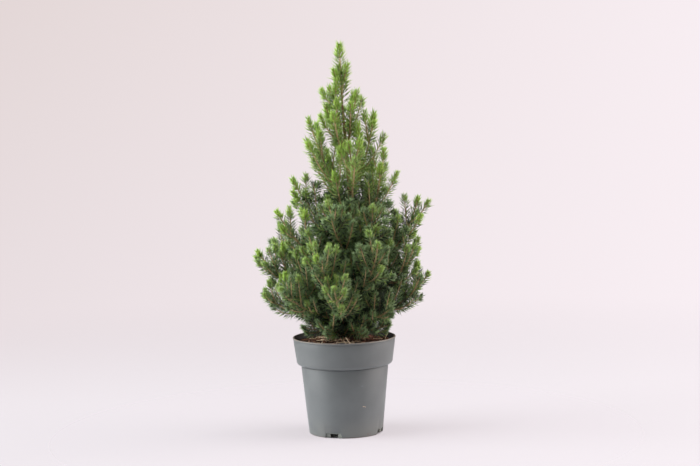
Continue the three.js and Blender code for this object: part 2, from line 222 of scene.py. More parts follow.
# finishes and shared helpers
texture = {
    "detail": 3,
    "spread": (0.35, 0.65),  # of the mottling's noise, from one colour to the other
    "patchSpread": (0.3, 0.55),
    "grainDetail": 4,
}
finishes = {
    # kind: base colour, second colour, size of the mottling, roughness, bump size, bump depth
    "pot": ((0.088, 0.093, 0.095), (0.099, 0.104, 0.106), 26, 0.52, 0.9, 0.012),
    # painted shade with some soil staining: the pot's inside is coloured near black
    "potInside": ((0.022, 0.020, 0.019), (0.040, 0.036, 0.033), 7, 0.6, 0.9, 0.02),
    "soil": ((0.030, 0.015, 0.009), (0.085, 0.042, 0.024), 5, 0.95, 1.4, 0.5),
    "chipDark": ((0.050, 0.024, 0.014), (0.10, 0.050, 0.030), 4, 0.9, 0.8, 0.2),
    "chipRed": ((0.24, 0.095, 0.050), (0.13, 0.048, 0.026), 3, 0.85, 0.8, 0.2),
    "chipTan": ((0.62, 0.41, 0.25), (0.40, 0.23, 0.13), 3, 0.8, 0.8, 0.2),
    "straw": ((0.85, 0.66, 0.45), (0.62, 0.44, 0.28), 4, 0.7, 0.6, 0.1),
    "bark": ((0.40, 0.24, 0.13), (0.21, 0.125, 0.070), 3.5, 0.85, 1.1, 0.35),
    "twigWood": ((0.54, 0.36, 0.19), (0.33, 0.21, 0.11), 3, 0.7, 0.8, 0.1),
    # painted shade: a darker copy of twigWood for the wood inside the crown
    "innerWoodPaintedShade": ((0.17, 0.105, 0.060), (0.09, 0.055, 0.035), 6, 0.7, 0.8, 0.1),
    # needle colours by age, handed out partly by light: Young and Fresh go where light falls, as painted
    # light, and Deep is a darker copy of Mature, painted shade for the crown's inside
    "needleYoung": ((0.315, 0.465, 0.07), (0.24, 0.39, 0.058), 9, 0.50, 0.8, 0.03),
    "needleFresh": ((0.275, 0.39, 0.085), (0.205, 0.32, 0.075), 9, 0.45, 0.8, 0.03),
    "needleMature": ((0.170, 0.245, 0.095), (0.120, 0.190, 0.078), 9, 0.40, 0.8, 0.03),
    "needleDeep": ((0.026, 0.040, 0.017), (0.016, 0.027, 0.012), 9, 0.7, 0.8, 0.03),
}


def noiseOf(tree, size, detail):
    place = tree.nodes["Texture Coordinate"].outputs["Object"]
    inputs = {"Vector": place, "Scale": 1 / (size * mm), "Detail": detail}
    return addNode(tree, "TexNoise", inputs).outputs["Fac"]


def makeFinish(kind):
    colour, second, mottle, roughness, grain, depth = finishes[kind]
    material, tree, surface = newMaterial(kind, roughness)
    addNode(tree, "TexCoord")
    patches = noiseOf(tree, mottle, texture["detail"])
    mix = mixOf(tree, spanOf(tree, patches, *texture["spread"]), colour, second)
    fine = noiseOf(tree, grain, texture["grainDetail"])
    bump = addNode(tree, "Bump", {"Distance": depth * mm, "Height": fine}).outputs[0]
    tree.links.new(mix, surface.inputs["Base Color"])
    tree.links.new(bump, surface.inputs["Normal"])
    return material


def tintWhere(tree, amount, colour):
    # lays a colour over a finish by an amount from 0 to 1
    surface = tree.nodes["Principled BSDF"].inputs["Base Color"]
    under = surface.links[0].from_socket
    tree.links.new(mixOf(tree, amount, under, colour), surface)


def throughVectors(tree, value, *steps):
    # puts a vector through one vector operation after another
    for operation, second in steps:
        step = addNode(tree, "VectorMath", {0: value, 1: second}, operation=operation)
        value = step.outputs["Value" if operation == "LENGTH" else 0]
    return value


def addPiece(name, mesh, finish, nodes=()):
    piece = addObject(name, mesh)
    mesh.materials.append(finish)
    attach(piece, "root")
    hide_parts(*nodes)
    return piece


def smoothed(mesh, sharpAngle=35):
    mesh.polygons.foreach_set("use_smooth", [True] * len(mesh.polygons))
    mesh.set_sharp_from_angle(angle=radians(sharpAngle))
    return mesh


def meshOf(bm, name):
    bmesh.ops.remove_doubles(bm, verts=bm.verts, dist=weld * mm)
    bmesh.ops.recalc_face_normals(bm, faces=bm.faces)
    mesh = bpy.data.meshes.new(name)
    bm.to_mesh(mesh)
    bm.free()
    return mesh


def spun(outline, steps):
    # turns an outline of (radius, height) points right round the pot's axis
    bm = bmesh.new()
    verts = [bm.verts.new((radius * mm, 0, height * mm)) for radius, height in outline]
    edges = [bm.edges.new(pair) for pair in zip(verts, verts[1:])]
    bmesh.ops.spin(
        bm, geom=verts + edges, cent=(0, 0, 0), axis=(0, 0, 1),
        angle=2 * pi, steps=steps, use_merge=True,
    )
    return bm


def arc(centre, radius, first, last, steps):
    # points of (radius, height) on an arc between two angles in degrees, 0 outwards and 90 up
    turns = [radians(first + (last - first) * i / steps) for i in range(steps + 1)]
    return [(centre[0] + radius * cos(t), centre[1] + radius * sin(t)) for t in turns]


# the pot
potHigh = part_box("pot")[1]
pot = {
    "height": round(potHigh.z / mm, 2),
    "rimRadius": round(potHigh.x / mm, 2),
    "lipHeight": 2.2,
    "lipProud": 0.7,
    "lipRound": 0.7,
    "underLip": [(0.9, 9), (0.05, 1), (0.35, 0.75), (0.35, 0.05)],  # how far in and how far down
    "collarRadius": 60.7,  # at the collar's lower edge
    "collarDepth": 31.1,
    "bodyTopRadius": 55.2,
    "bodyTop": 87.1,
    "undercut": 0.5,  # how far the collar's underside comes up to the body
    "bodyRings": (25, 55),
    "grooveHeight": 0.9,  # of the fine shadow line where the collar starts
    "grooveDepth": 0.6,
    "grooveSlant": 0.1,
    "grooveOver": 0.3,  # how far it goes on under the collar
    "footRadius": 46.7,
    "footRound": 1.2,
    "wall": 1.4,
    "footWall": 4.2,
    "footHeight": 7,
    "ledge": 2,
    "floor": 1.6,
    "softEdge": 0.25,
    "softAngle": 40,
    "innerReach": 0.9,  # a face is inside past this share of the inner radius
    "innerFacing": -0.5,  # and where it looks at the axis more than this
    "steps": 180,
}
drain = {
    "count": 4,
    "heading": 250,
    "width": 10,
    "height": 4.9,
    "inward": 10,
    "recessWidth": 26,
    "recessHeight": 6.4,
    "recessDepth": 2.7,
    "recessSlant": 3.5,
    "past": 3,  # how far the cutters reach beyond the pot
}


def between(span, share):
    return span[0] + (span[1] - span[0]) * share


def progress(value, start, span):
    return (value - start) / span


def wallAt(height):
    return between((pot["footRadius"], pot["bodyTopRadius"]), height / pot["bodyTop"])


def potInside(inset):
    collarFoot = pot["height"] - pot["collarDepth"]
    low, high = pot["footHeight"], pot["footHeight"] + pot["ledge"]
    return [
        (pot["footRadius"] - pot["footWall"] - inset, pot["floor"] + inset),
        (wallAt(low) - pot["footWall"] - inset, low),
        (wallAt(high) - pot["wall"] - inset, high),
        (pot["bodyTopRadius"] - pot["wall"] - inset, pot["bodyTop"] + pot["wall"]),
        (pot["collarRadius"] - pot["wall"] - inset, collarFoot + pot["wall"]),
        (pot["rimRadius"] - pot["lipProud"] - pot["wall"] - inset, pot["height"] - pot["lipHeight"]),
    ]


def potOutline():
    height, rim, soft = pot["height"], pot["rimRadius"], pot["lipRound"]
    collarTop = rim - pot["lipProud"]
    collarFoot, lipFoot = height - pot["collarDepth"], height - pot["lipHeight"]
    foot = pot["footRound"]
    bodyTop, bodyRadius = pot["bodyTop"], pot["bodyTopRadius"]
    groove = bodyTop - pot["grooveHeight"]
    inside = potInside(0)
    across, down = pot["collarRadius"] - bodyRadius, collarFoot + pot["undercut"] - bodyTop
    return [
        (0, 0),
        *arc((pot["footRadius"] - foot, foot), foot, -90, 0, 6),
        *((wallAt(ring), ring) for ring in (*pot["bodyRings"], groove)),
        (wallAt(groove) - pot["grooveDepth"], groove + pot["grooveSlant"]),
        (wallAt(groove) - pot["grooveDepth"], bodyTop + pot["grooveOver"]),
        *((bodyRadius + across * x, bodyTop + down * y) for x, y in arc((0, 1), 1, -84, 0, 8)),
        *((collarTop - inward, lipFoot - lower) for inward, lower in pot["underLip"]),
        *arc((rim - soft, lipFoot + soft), soft, -80, 0, 5),
        *arc((rim - soft, height - soft), soft, 0, 90, 5),
        *arc((inside[-1][0] + soft, height - soft), soft, 90, 180, 5),
        *reversed(inside),
        (0, pot["floor"]),
    ]


def addBox(bm, size, middle):
    verts = bmesh.ops.create_cube(bm, size=1)["verts"]
    bmesh.ops.scale(bm, verts=verts, vec=inMetres(size))
    bmesh.ops.translate(bm, verts=verts, vec=Vector(middle) * mm)
    return verts


def cutters():
    # a drain hole and the shallow slanted recess round it, for each of the pot's drain places
    bm = bmesh.new()
    foot, past = pot["footRadius"], drain["past"]
    half, slant = drain["recessWidth"] / 2, drain["recessSlant"]
    sagitta = foot - sqrt(foot**2 - half**2)
    depth = drain["recessDepth"] + sagitta + past
    for i in range(drain["count"]):
        turn = Matrix.Rotation(radians(drain["heading"] + i * 360 / drain["count"]), 4, "Z")
        length = drain["inward"] + past
        middle = (foot + past - length / 2, 0, (drain["height"] - past) / 2)
        hole = addBox(bm, (length, drain["width"], drain["height"] + past), middle)
        tall = drain["recessHeight"] + past
        middle = (foot - drain["recessDepth"] - sagitta / 2 + depth / 2, 0, tall / 2 - past)
        recess = addBox(bm, (depth, 2 * half, tall), middle)
        upper = [vert for vert in recess if vert.co.z > 0]
        bmesh.ops.scale(bm, verts=upper, vec=(1, 1 - slant / half, 1))
        bmesh.ops.rotate(bm, verts=hole + recess, cent=(0, 0, 0), matrix=turn)
    return bm


marks = [  # on the pot's wall: place, size (x, y, z), colour
    ((22.6, -45.4, 39.6), (1.6, 4, 0.45), (0.50, 0.36, 0.24)),
    ((24.6, -44.4, 38.9), (0.9, 4, 0.4), (0.50, 0.36, 0.24)),
    ((27.3, -38.6, 3.6), (0.9, 3, 0.8), (0.13, 0.06, 0.04)),
    ((30.4, -36.0, 3.2), (0.6, 3, 0.6), (0.13, 0.06, 0.04)),
    ((21.2, -48.7, 66.0), (2.2, 4, 0.5), (0.125, 0.140, 0.150)),
]
markEdge = (1, 0.6)  # where each starts and where it is whole, as a share of its size
dustAndLighterFoot = [  # heights between which each thickens, size of its patches, colour
    ((120.3, 121.6), 2.5, (0.19, 0.155, 0.125)),
    # a broad band lighter towards the foot
    ((30, 2), 40, (0.125, 0.126, 0.120)),
    ((1.6, 0.3), 2.5, (0.085, 0.060, 0.042)),
]
recessDust = {  # radii and heights between which it thickens
    "radius": (46.0, 45.4),
    "height": (7.4, 6.4),
    "colour": (0.21, 0.215, 0.19),
}


def potFinish():
    # the moulded grey, with dirt along its rim and foot and in the recesses, a broad band lighter towards
    # the foot, and a few scuffs
    finish = makeFinish("pot")
    tree = finish.node_tree
    place = tree.nodes["Texture Coordinate"].outputs["Object"]
    height = addNode(tree, "SeparateXYZ", {0: place}).outputs["Z"]
    for heights, size, colour in dustAndLighterFoot:
        near = softSpan(tree, height, *inMetres(heights))
        patches = noiseOf(tree, size, texture["detail"])
        patches = softSpan(tree, patches, *texture["patchSpread"])
        tintWhere(tree, product(tree, near, patches), colour)
    radius = throughVectors(tree, place, ("MULTIPLY", (1, 1, 0)), ("LENGTH", (0, 0, 0)))
    sunk = softSpan(tree, radius, *inMetres(recessDust["radius"]))
    under = softSpan(tree, height, *inMetres(recessDust["height"]))
    tintWhere(tree, product(tree, sunk, under), recessDust["colour"])
    for spot, size, colour in marks:
        steps = ("SUBTRACT", inMetres(spot)), ("DIVIDE", inMetres(size)), ("LENGTH", (0, 0, 0))
        away = throughVectors(tree, place, *steps)
        tintWhere(tree, softSpan(tree, away, *markEdge), colour)
    return finish


def innerFaces(mesh):
    # the pot's faces that look towards its axis, which get the inside's painted shade
    for face in mesh.polygons:
        out = face.center.copy()
        out.z = 0
        far = out.length > potInside(0)[0][0] * mm * pot["innerReach"]
        if far and face.normal.dot(out.normalized()) < pot["innerFacing"]:
            yield face


def makePot():
    body = addObject("potBody", meshOf(spun(potOutline(), pot["steps"]), "potBody"))
    cut = addObject("drainCut", meshOf(cutters(), "drainCut"))
    boolean = body.modifiers.new("drains", "BOOLEAN")
    boolean.operation = "DIFFERENCE"
    boolean.solver = "EXACT"
    boolean.use_self = True
    boolean.object = cut
    bevel = body.modifiers.new("softEdges", "BEVEL")
    bevel.width = pot["softEdge"] * mm
    bevel.segments = 2
    bevel.angle_limit = radians(pot["softAngle"])
    finished = body.evaluated_get(bpy.context.evaluated_depsgraph_get())
    mesh = bpy.data.meshes.new_from_object(finished)
    mesh.name = "potShell"
    for helper in (body, cut):
        bpy.data.objects.remove(helper)
    addPiece("potShell", smoothed(mesh), potFinish(), ["pot"])
    # the inward faces get the near-black inside finish: painted shade, with some soil staining
    mesh.materials.append(makeFinish("potInside"))
    for face in innerFaces(mesh):
        face.material_index = 1


makePot()
print("pot made")


# the soil
soil = {
    "edge": 114,
    "mound": 3,
    "moundRadius": 20,
    "clearance": 0.4,
    "rings": 46,
    "steps": 132,
    "relief": 2.4,
    "lump": (9, 0.5),  # breadth and share of the lumps, and of the grit on them
    "grit": (2.2, 0.35),
    "chips": [  # name, finish, count, length, width, thickness
        ("chipsDark", "chipDark", 620, (2, 6), (1.2, 3), (0.6, 1.4)),
        ("chipsRed", "chipRed", 520, (2.5, 9), (1.2, 3.4), (0.5, 1.4)),
        ("chipsTan", "chipTan", 110, (3, 10), (0.8, 2.2), (0.4, 0.9)),
    ],
    "chipRadius": 60,
    "chipCorners": (0.55, 1.15),
    "chipTilt": (0.38, 0.3),
    "chipLift": 0.7,  # of its half thickness, above the soil
    "straws": 40,
    "strawLength": (10, 24),
    "strawRadius": 0.55,
    "strawSizes": (0.6, 1.2),
    "strawSpread": (0.1, 0.9),
    "strawBow": (-3, 3),
    "strawLift": 1.2,
    "strawSlope": (0, 1.6),
    "strawPoints": 7,
    "leaningSize": 0.7,
    "leaning": [  # foot and tip of each straw that leans on something
        ((51, 6, 115.3), (55.2, 27, 120)),
        ((8.5, -60.5, 119.6), (2, -54, 128)),
    ],
    "hollow": (9, 10),  # how far the soil stays back from the drain holes, inwards and upwards
}


def soilHeight(radius):
    slope = (pot["collarRadius"] - radius) / (pot["collarRadius"] - soil["moundRadius"])
    return soil["edge"] + soil["mound"] * min(max(slope, 0), 1)


def soilRelief(x, y):
    # how far the lumps lift the soil's top at a place
    (lump, lumpShare), (grit, gritShare) = soil["lump"], soil["grit"]
    broad = noise.fractal(Vector((x, y, 0)) / lump, 1, 2, 3)
    return soil["relief"] * (lumpShare * broad + gritShare * noise.noise(Vector((x, y, 7)) / grit))


def soilTop(x, y):
    return soilHeight(hypot(x, y)) + soilRelief(x, y)


def makeSoil():
    walls = potInside(soil["clearance"])
    low, high = walls[4], walls[5]
    edgeRadius = between((low[0], high[0]), (soil["edge"] - low[1]) / (high[1] - low[1]))
    rings = [edgeRadius * (1 - i / soil["rings"]) for i in range(soil["rings"] + 1)]
    inward, upward = soil["hollow"]
    lowest = walls[0][1]
    bm = spun([
        (0, lowest),
        (walls[0][0] - inward, lowest),
        (wallAt(upward) - 2 * pot["wall"], upward),
        *walls[3:5],
        *((radius, soilHeight(radius)) for radius in rings),
    ], soil["steps"])
    for vert in bm.verts:
        x, y, z = vert.co / mm
        if z > soil["edge"] - 1 and hypot(x, y) < edgeRadius + 1:
            vert.co.z += soilRelief(x, y) * mm
    addPiece("soilBed", smoothed(meshOf(bm, "soilBed"), 180), makeFinish("soil"), ["soil"])


def meshFromArrays(name, points, faces):
    # a mesh of triangles from arrays of points in millimetres and of corner numbers
    mesh = bpy.data.meshes.new(name)
    points = np.asarray(points, np.float32).reshape(-1, 3) * mm
    faces = np.asarray(faces, np.int32).reshape(-1, 3)
    mesh.vertices.add(len(points))
    mesh.vertices.foreach_set("co", points.ravel())
    mesh.loops.add(faces.size)
    mesh.loops.foreach_set("vertex_index", faces.ravel())
    mesh.polygons.add(len(faces))
    mesh.polygons.foreach_set("loop_start", np.arange(0, faces.size, 3, dtype=np.int32))
    mesh.update(calc_edges=True)
    mesh.validate()
    return mesh


boxCorners = np.array([(x, y, z) for z in (-1, 1) for y in (-1, 1) for x in (-1, 1)], float)
boxFaces = np.array([
    (0, 2, 1), (1, 2, 3), (4, 5, 6), (5, 7, 6), (0, 1, 4), (1, 5, 4),
    (2, 6, 3), (3, 6, 7), (0, 4, 2), (2, 4, 6), (1, 3, 5), (3, 7, 5),
])


def makeChips(name, finish, count, lengths, widths, depths, chance):
    # flat splinters of bark that lie on the soil at all angles, each a box with uneven corners
    points, faces = [], []
    for _ in range(count):
        radius = soil["chipRadius"] * sqrt(chance.uniform(0, 1))
        turn = chance.uniform(0, 2 * pi)
        x, y = radius * cos(turn), radius * sin(turn)
        size = [chance.uniform(*span) / 2 for span in (lengths, widths, depths)]
        corners = boxCorners * size * chance.uniform(*soil["chipCorners"], (8, 3))
        turns = [chance.normal(0, spread) for spread in soil["chipTilt"]]
        tilt = Matrix.Rotation(turns[0], 3, "X") @ Matrix.Rotation(turns[1], 3, "Y")
        spin = Matrix.Rotation(chance.uniform(0, 2 * pi), 3, "Z")
        corners = corners @ np.array(spin @ tilt).T
        corners += (x, y, soilTop(x, y) + size[2] * soil["chipLift"])
        faces.append(boxFaces + len(points) * 8)
        points.append(corners)
    mesh = meshFromArrays(name, np.concatenate(points), np.concatenate(faces))
    addPiece(name, mesh, makeFinish(finish))


def tubes(lines, radii, sides):
    # closed round bars along lines, all in one pair of arrays
    points, faces, first = [], [], 0
    angles = np.linspace(0, 2 * pi, sides, endpoint=False)
    for line, thickness in zip(lines, radii):
        count = len(line)
        along = np.gradient(line, axis=0)
        along /= np.linalg.norm(along, axis=1, keepdims=True)
        chord = line[-1] - line[0]
        side = np.cross(chord, up if abs(chord[2]) < 0.9 * np.linalg.norm(chord) else (1, 0, 0))
        across = side - along * (along @ side)[:, None]
        across /= np.linalg.norm(across, axis=1, keepdims=True)
        lift = np.cross(across, along)
        ring = across[:, None] * np.cos(angles)[:, None] + lift[:, None] * np.sin(angles)[:, None]
        points.append((line[:, None] + ring * thickness[:, None, None]).reshape(-1, 3))
        points.append(line[[0, -1]] - along[[0, -1]] * ((0.0,), (-thickness[-1],)))
        a = np.arange(sides)
        b = (a + 1) % sides
        for i in range(count - 1):
            low, high = first + i * sides, first + (i + 1) * sides
            faces.append(np.stack([low + a, high + a, low + b], 1))
            faces.append(np.stack([low + b, high + a, high + b], 1))
        foot, tip = first + count * sides, first + count * sides + 1
        top = first + (count - 1) * sides
        faces.append(np.stack([first + a, first + b, np.full(sides, foot)], 1))
        faces.append(np.stack([top + b, top + a, np.full(sides, tip)], 1))
        first += count * sides + 2
    return np.concatenate(points), np.concatenate(faces)


def makeStraws(chance):
    lines, radii, count, thick = [], [], soil["strawPoints"], soil["strawRadius"]
    for _ in range(soil["straws"]):
        radius = soil["chipRadius"] * sqrt(chance.uniform(*soil["strawSpread"]))
        turn, heading = chance.uniform(0, 2 * pi, 2)
        length, bow = chance.uniform(*soil["strawLength"]), chance.uniform(*soil["strawBow"])
        share = np.linspace(-0.5, 0.5, count)
        x = radius * cos(turn) + share * length * cos(heading)
        y = radius * sin(turn) + share * length * sin(heading)
        x -= bow * (0.25 - share**2) * sin(heading)
        y += bow * (0.25 - share**2) * cos(heading)
        if max(np.hypot(x, y)) > soil["chipRadius"] + 1:
            continue
        z = np.array([soilTop(*spot) for spot in zip(x, y)]) + soil["strawLift"]
        z += chance.uniform(*soil["strawSlope"]) * np.linspace(0, 1, count)
        lines.append(np.stack([x, y, z], 1))
        radii.append(np.full(count, thick) * chance.uniform(*soil["strawSizes"]))
    for foot, tip in soil["leaning"]:
        lines.append(np.linspace(foot, tip, count))
        radii.append(np.full(count, thick * soil["leaningSize"]))
    mesh = meshFromArrays("straws", *tubes(lines, radii, 4))
    addPiece("straws", mesh, makeFinish("straw"))


makeSoil()
soilChance = np.random.default_rng(11)
for chipKind in soil["chips"]:
    makeChips(*chipKind, soilChance)
makeStraws(soilChance)
print("soil made")


# the limbs, grown by the same rule as the solids' source
trunk = {
    "foot": round(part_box("trunk")[0].z / mm, 2),
    "tip": round(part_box("trunk")[1].z / mm, 2),
    "leaderTip": 493,
    "flareRadius": 7.5,
    "flareHeight": 9,
    "radius": 4.4,
    "tipRadius": 1.4,
    "bow": 10,
    "wave": 3.4,
    "lean": 1.5,
    "backward": -4,
}
tiers = [
    # name, height where it leaves the trunk, climb, spread, bare share, twig angle,
    # boughs of (heading, reach, tip height)
    ("foot", 124, 1.4, 0.6, 0, 44, [
        (248, 60, 141), (294, 62, 138), (340, 66, 140), (205, 62, 139), (140, 64, 141), (62, 64, 142)]),
    ("skirt", 133, 2, 0.7, 0.2, 44, [
        (2, 111, 204), (182, 104, 182), (263, 92, 198), (318, 82, 166), (216, 98, 194), (112, 92, 178)]),
    ("lower", 152, 5, 0.7, 0.2, 42, [
        (178, 110, 236), (352, 98, 250), (248, 88, 236), (301, 86, 250), (150, 106, 246), (54, 100, 236)]),
    ("middle", 190, 7, 0.7, 0.2, 40, [
        (6, 99, 300), (200, 88, 288), (312, 58, 294), (250, 52, 300), (92, 78, 288)]),
    ("shoulder", 226, 12, 0.62, 0.2, 38, [
        (165, 66, 326), (352, 56, 362), (52, 58, 340), (115, 46, 362)]),
    ("spire", 268, 20, 0.52, 0, 34, [
        (182, 41, 402), (288, 34, 372), (4, 44, 408), (100, 30, 404), (200, 20, 418),
        (350, 18, 432), (184, 14, 440)]),
]
leader = {"angle": 22, "twigs": {"lastAt": 0.4, "least": 8, "share": 0.26, "lift": 0.2}}
bough = {"radius": 2, "tipRadius": 1.5, "rise": 0.3}
stemRule = {
    "radius": 1.6,
    "needlesFrom": 0.6,  # as a share of the bare part
    "sidesFrom": 0.5,
    "vigour": (0.8, 1.3),
}
twigRule = {
    "spacing": 13.5,
    "stagger": 0.5,
    "firstAt": 0.1,
    "lastAt": 0.78,
    "least": 14,
    "share": 0.32,
    "most": 40,
    "spread": 0.15,
    "turnSpread": 20,
    "angleSpread": 6,
    "lift": 0.55,
    "room": 6.4,
    "needlesFrom": 0.04,
    "vigour": (0.6, 1.2),
}
gap = 0.3  # between the trunk and what grows from it
goldenAngle = 137.5
steep = 0.98
lineSteps = 6
needleEnd = 6  # how far needles reach past the end of a limb
wallRoom = 12  # how near the pot's wall counts as over it


def dice(seed):
    state = seed * 2654435761 % 2**32

    def roll(low, high):
        nonlocal state
        state = (state * 1664525 + 1013904223) % 2**32
        return low + (high - low) * state / 2**32

    return roll


def goldenTurn(i, roll, spread):
    return i * goldenAngle + roll(-spread, spread)


def unit(vector):
    return vector / np.linalg.norm(vector, axis=-1, keepdims=True)


def outward(heading):
    return np.array([cos(radians(heading)), sin(radians(heading)), 0.0])


def trunkPoint(height):
    t = (height - trunk["foot"]) / (trunk["leaderTip"] - trunk["foot"])
    bend = np.sin(pi * t)
    x = trunk["lean"] * t + trunk["bow"] * bend + trunk["wave"] * np.sin(2 * pi * t)
    return np.stack([x, trunk["backward"] * bend, height + 0 * t], -1)


def trunkRadius(height):
    flare = np.maximum(0, 1 - (height - trunk["foot"]) / trunk["flareHeight"])
    t = (height - trunk["foot"]) / (trunk["tip"] - trunk["foot"])
    straight = trunk["radius"] + (trunk["tipRadius"] - trunk["radius"]) * t
    return straight + (trunk["flareRadius"] - trunk["radius"]) * flare**2


class Limb:
    # a quadratic curve with its own sense of "across"
    def __init__(self, start, control, end):
        self.start, self.control, self.end = start, control, end
        line = self.points(np.linspace(0, 1, 201))
        self.length = np.linalg.norm(np.diff(line, axis=0), axis=1).sum()
        chord = unit(end - start)
        reference = np.array([1.0, 0, 0]) if abs(chord[2]) > steep else up
        self.across = unit(np.cross(reference, chord))

    def points(self, shares):
        t = np.asarray(shares, float)[..., None]
        return (1 - t) ** 2 * self.start + 2 * t * (1 - t) * self.control + t**2 * self.end

    def frame(self, shares):
        shares = np.asarray(shares, float)
        inside = np.clip(shares, 0, 1)
        t = inside[..., None]
        along = unit(2 * (1 - t) * (self.control - self.start) + 2 * t * (self.end - self.control))
        lift = unit(np.cross(along, self.across))
        across = np.cross(lift, along)
        point = self.points(inside) + along * ((shares - inside) * self.length)[..., None]
        return point, along, across, lift


def boughLine(leaves, spread, radius, heading, reach, tipHeight):
    out = outward(heading)
    centre = trunkPoint(leaves)
    control = centre + out * reach * spread
    control[2] = leaves + (tipHeight - leaves) * bough["rise"]
    end = out * reach
    end[2] = tipHeight
    end = end - unit(end - control) * needleEnd
    slant = unit(control - centre)[2]
    start = centre + out * (trunkRadius(leaves - 2 * radius) + gap + radius * slant)
    return Limb(start, control, end)


def liftedLimb(start, direction, length, lift):
    # a shoot that sets out in a direction and bends upwards
    end = start + direction * length + up * lift * length
    return Limb(start, start + direction * length / 2, end)


def twigsOf(limb, first, standing, rule, roll):
    twigs = []
    count = int(limb.length * (1 - first) / rule["spacing"] + 0.5)
    for i in range(count):
        share = (i + roll(0, rule["stagger"])) / count
        share = between((rule["firstAt"], rule["lastAt"]), share)
        at = between((first, 1), share)
        point, along, across, lift = limb.frame(at)
        turn = radians(goldenTurn(i, roll, rule["turnSpread"]))
        angle = radians(standing + roll(-rule["angleSpread"], rule["angleSpread"]))
        grown = min(rule["most"], rule["least"] + rule["share"] * limb.length * (1 - at))
        length = grown * roll(1 - rule["spread"], 1 + rule["spread"])
        direction = (
            along * cos(angle)
            + across * cos(turn) * sin(angle)
            + lift * sin(turn) * sin(angle)
        )
        twigs.append(liftedLimb(point, direction, length, rule["lift"]))
    return twigs


def linePoints(limb, first=0.0):
    return limb.frame(first + (1 - first) * np.arange(lineSteps + 1) / lineSteps)[0]


def distances(points, lines):
    # the least distance from each point to each line of points
    lines = np.asarray(lines)
    a, b = lines[:, :-1], lines[:, 1:]
    span = b - a
    p = np.asarray(points)[:, None, None]
    t = ((p - a) * span).sum(-1) / (span**2).sum(-1)
    nearest = a + span * np.clip(t, 0, 1)[..., None]
    return np.linalg.norm(p - nearest, axis=-1).min(-1)


def clearOfPot(points, room):
    x, y, z = np.asarray(points).T
    radius = np.hypot(x, y)
    bed = np.array([soilHeight(r) for r in radius])
    height = np.where(radius > pot["rimRadius"] - wallRoom, pot["height"], bed)
    return bool(((z > height + room) & ((z > pot["height"]) | (radius < pot["rimRadius"]))).all())


def clearOfTrunk(points, room):
    height = np.clip(np.asarray(points)[:, 2], trunk["foot"], trunk["tip"])
    away = np.linalg.norm(trunkPoint(height) - points, axis=1)
    return bool((away > trunkRadius(height) + room).all())


def layOutStems():
    stems = []
    for tier, leaves, climb, spread, bare, angle, boughs in tiers:
        for i, placed in enumerate(boughs):
            radius = bough["radius"] if bare else stemRule["radius"]
            limb = boughLine(leaves + i * climb, spread, radius, *placed)
            name = f"{tier}_{i + 1}"
            stems.append({"name": name, "limb": limb, "bare": bare, "angle": angle, "rule": twigRule})
    foot = trunkPoint(trunk["tip"] + gap)
    top = trunkPoint(trunk["leaderTip"] - needleEnd)
    limb = Limb(foot, (foot + top) / 2, top)
    rule = {**twigRule, **leader["twigs"]}
    stems.append({"name": "leader", "limb": limb, "bare": 0, "angle": leader["angle"], "rule": rule})
    for i, stem in enumerate(stems):
        stem["seed"] = i + 1
        stem["lines"] = [linePoints(stem["limb"], stem["bare"])]
        stem["wood"] = stem["limb"].frame(np.array([0, 0.5, 1]) * stem["bare"])[0]
        stem["twigs"] = []
    return stems


def growTwigs(stems):
    half = twigRule["room"] / 2
    woods = [stem["wood"] for stem in stems if stem["bare"]]
    for stem in stems:
        roll = dice(stem["seed"])
        for twig in twigsOf(stem["limb"], stem["bare"], stem["angle"], stem["rule"], roll):
            line = linePoints(twig)
            outer = line[2:]  # past what grows beside it
            others = [other for stemB in stems if stemB is not stem for other in stemB["lines"]]
            apart = (distances(outer, others) > twigRule["room"]).all()
            clearOfLimbs = (distances(outer, woods) > half + bough["radius"]).all()
            if apart and clearOfLimbs and clearOfPot(outer, half) and clearOfTrunk(outer, half):
                stem["twigs"].append(twig)
                stem["lines"].append(line)


stems = layOutStems()
growTwigs(stems)
print("limbs laid out:", len(stems), "stems,", sum(len(stem["twigs"]) for stem in stems), "twigs")


# the finer twigs
sideRule = {  # between the twigs of every stem
    "spacing": 6.5,
    "stagger": 0.5,
    "firstAt": 0.04,
    "lastAt": 0.82,
    "least": 12,
    "share": 0.3,
    "most": 42,
    "spread": 0.25,
    "turnSpread": 40,
    "angleSpread": 10,
    "lift": 0.8,
    "room": (6.4, 15),
    "needlesFrom": 0.08,
    "vigour": (0.6, 1.15),
}
sprigRule = {  # on all of those
    "spacing": 7,
    "stagger": 0.5,
    "firstAt": 0.15,
    "lastAt": 0.7,
    "least": 9,
    "share": 0.22,
    "most": 20,
    "spread": 0.25,
    "turnSpread": 30,
    "angleSpread": 9,
    "lift": 0.5,
    "angle": 44,
    "room": (6.2, 13),
    "from": 0.1,
    "needlesFrom": 0.1,
    "vigour": (0.5, 1.0),
}
innerRule = {  # short dark shoots round the trunk and the inner boughs, their needles and wood painted dark as shade
    "from": 140,
    "to": 292,
    "every": 0.8,
    "length": (60, 24),
    "lengthSpread": (0.6, 1.2),
    "angle": (76, 36),
    "turnSpread": 20,
    "lift": 0.2,
    "room": (3.6, 10),
    "vigour": (0.3, 0.7),
    "boughSpacing": 3,
    "boughLength": (14, 30),
    "boughAngle": 66,
    "boughAngleSpread": 15,
    "boughTurnSpread": 30,
    "boughUntil": 0.8,
    "onBough": (0, 0.1),  # where wood and needles begin
    "onTrunk": (0.1, 0.15),
    "within": 0.7,  # how far out of the crown they may end
}
crownRule = {
    "radius": 104,
    "taperHeight": 250,
    "least": 0.05,
    "foot": 120,
    "footShare": 0.62,  # of the radius that is left at the crown's foot
    "footHeight": 60,
    "lightOut": (0.35, 0.5),  # how far out the light starts and over what it grows, and how high
    "lightUp": (270, 90),
}
